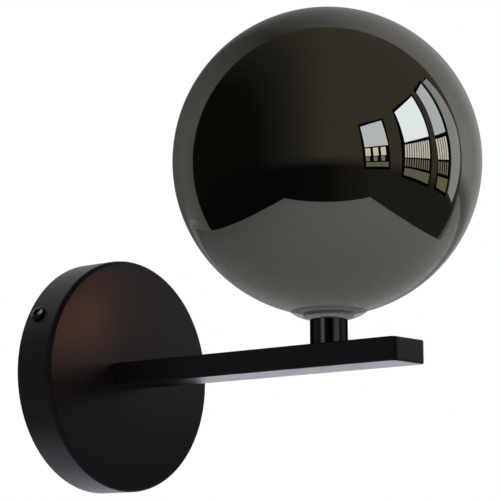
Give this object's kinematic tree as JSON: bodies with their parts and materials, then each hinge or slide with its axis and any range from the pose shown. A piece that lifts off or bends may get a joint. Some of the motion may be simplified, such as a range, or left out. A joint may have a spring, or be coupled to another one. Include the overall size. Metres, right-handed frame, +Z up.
{
  "type": "globe wall sconce",
  "caption": "Wall light with a round canopy, a flat straight arm and a short stem that holds a mirrored smoke-glass globe over its tip.",
  "frame": {"origin": "the centre of the wall plate's back face, on the wall", "axes": "+Y into the wall (the arm reaches out along -Y), +Z up, +X to the right seen from the front"},
  "size_m": [0.15, 0.226, 0.2303],
  "materials": {
    "zinc_plated_steel": "bright zinc, satin",
    "black_powder_coat": "fine satin powder coat",
    "black_lacquered_tube": "satin lacquer",
    "black_screw": "black oxide, satin",
    "smoke_mirror_glass": "blown smoke glass, mirrored inside",
    "smoke_silicone": "translucent, satin",
    "brass": "turned",
    "steel": "plain",
    "ceramic": "unglazed steatite",
    "contact_bronze": "spring bronze",
    "terminal_moulding": "moulded nylon",
    "bush_moulding": "moulded nylon",
    "brown_insulation": "silicone sleeve",
    "blue_insulation": "silicone sleeve",
    "green_yellow_insulation": "silicone sleeve",
    "bulb_white_plastic": "moulded",
    "bulb_light_carrier": "coated ceramic",
    "bulb_frosted_cover": "frosted"
  },
  "bodies": {
    "fixture": {"wall_plate": "zinc_plated_steel", "canopy_cover": "black_powder_coat", "side_screws": "black_screw", "arm_screws": "steel", "arm_washers": "steel", "wire_bush": "bush_moulding", "arm_bar": "black_powder_coat", "arm_end_cap": "black_powder_coat", "arm_root_block": "steel", "stem_tube": "black_lacquered_tube", "threaded_tube": "zinc_plated_steel", "lower_nut": "brass", "upper_nut": "brass", "lower_lock_washer": "steel", "upper_lock_washer": "steel", "globe_seat": "smoke_silicone", "globe_collar": "zinc_plated_steel", "lampholder_strap": "steel", "lampholder_body": "ceramic", "lampholder_contacts": "contact_bronze", "lampholder_screws": "steel", "terminal_block": "terminal_moulding", "terminal_clamps": "brass", "terminal_screws": "steel", "terminal_block_screw": "steel", "earth_washer": "steel", "earth_tag": "brass", "earth_screw": "steel", "lead_live": "brown_insulation", "lead_neutral": "blue_insulation", "lead_earth": "green_yellow_insulation"},
    "globe": {"globe_glass": "smoke_mirror_glass"},
    "bulb": {"bulb_base": "bulb_white_plastic", "bulb_pins": "steel", "bulb_core": "bulb_light_carrier", "bulb_cover": "bulb_frosted_cover"}
  },
  "joints": [
    {"name": "globe_lift", "type": "slide", "parent": "fixture", "child": "globe", "axis": [0, 0, 1], "range_m": [0, 0.085]},
    {"name": "bulb_pull", "type": "slide", "parent": "fixture", "child": "bulb", "axis": [0, 0, 1], "range_m": [0, 0.02]}
  ]
}
